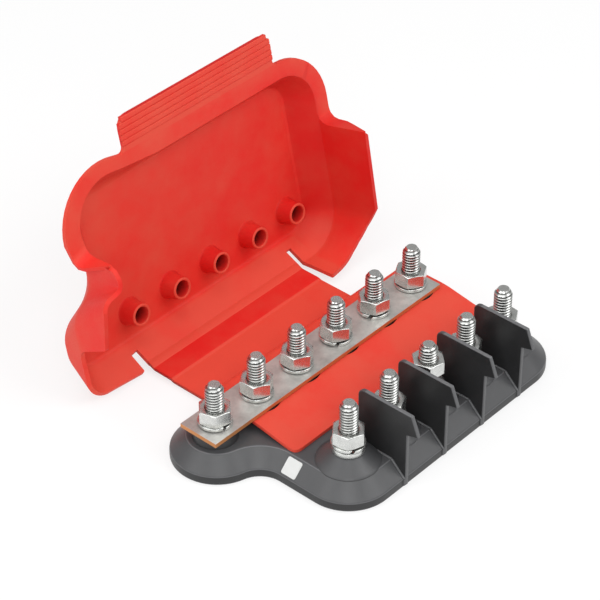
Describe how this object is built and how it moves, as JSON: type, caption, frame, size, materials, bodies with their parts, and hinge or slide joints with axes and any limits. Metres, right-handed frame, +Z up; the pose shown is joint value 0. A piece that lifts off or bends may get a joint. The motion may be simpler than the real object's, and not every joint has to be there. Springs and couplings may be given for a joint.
{
  "type": "multi-way fuse holder",
  "caption": "Open multi-way fuse holder: dark base with a bus bar row and an output row of threaded studs, divider walls, and a soft red cover on a strap hinge.",
  "frame": {"origin": "middle of the base underside", "axes": "+X along the bus bar away from the input stud, +Y towards the cover hinge, +Z up"},
  "size_m": [0.1749, 0.167, 0.1152],
  "materials": {
    "base_plastic": "moulded, fine grain",
    "cover_plastic": "soft moulded, satin",
    "bus_bar": "tinned, satin",
    "zinc_steel": "bright zinc",
    "label": "plain"
  },
  "bodies": {
    "holder": {"base": "base_plastic", "busbar": "bus_bar", "tongue": "cover_plastic", "hinge_strap": "cover_plastic", "label": "label", "bus_bolt_1": "zinc_steel", "bus_bolt_2": "zinc_steel", "bus_bolt_3": "zinc_steel", "bus_bolt_4": "zinc_steel", "bus_bolt_5": "zinc_steel", "bus_bolt_6": "zinc_steel", "bus_washer_1": "zinc_steel", "bus_washer_2": "zinc_steel", "bus_washer_3": "zinc_steel", "bus_washer_4": "zinc_steel", "bus_washer_5": "zinc_steel", "bus_washer_6": "zinc_steel", "bus_nut_1": "zinc_steel", "bus_nut_2": "zinc_steel", "bus_nut_3": "zinc_steel", "bus_nut_4": "zinc_steel", "bus_nut_5": "zinc_steel", "bus_nut_6": "zinc_steel", "out_bolt_1": "zinc_steel", "out_bolt_2": "zinc_steel", "out_bolt_3": "zinc_steel", "out_bolt_4": "zinc_steel", "out_bolt_5": "zinc_steel", "out_collar_1": "zinc_steel", "out_collar_2": "zinc_steel", "out_collar_3": "zinc_steel", "out_collar_4": "zinc_steel", "out_collar_5": "zinc_steel", "out_washer_1": "zinc_steel", "out_washer_2": "zinc_steel", "out_washer_3": "zinc_steel", "out_washer_4": "zinc_steel", "out_washer_5": "zinc_steel", "out_nut_1": "zinc_steel", "out_nut_2": "zinc_steel", "out_nut_3": "zinc_steel", "out_nut_4": "zinc_steel", "out_nut_5": "zinc_steel"},
    "lid": {"cover": "cover_plastic"}
  },
  "joints": [
    {"name": "cover_hinge", "type": "hinge", "parent": "holder", "child": "lid", "pos_m": [0, 0.0514, 0.0063], "axis": [1, 0, 0], "range_deg": [0, 102], "deforming": ["hinge_strap"]}
  ]
}
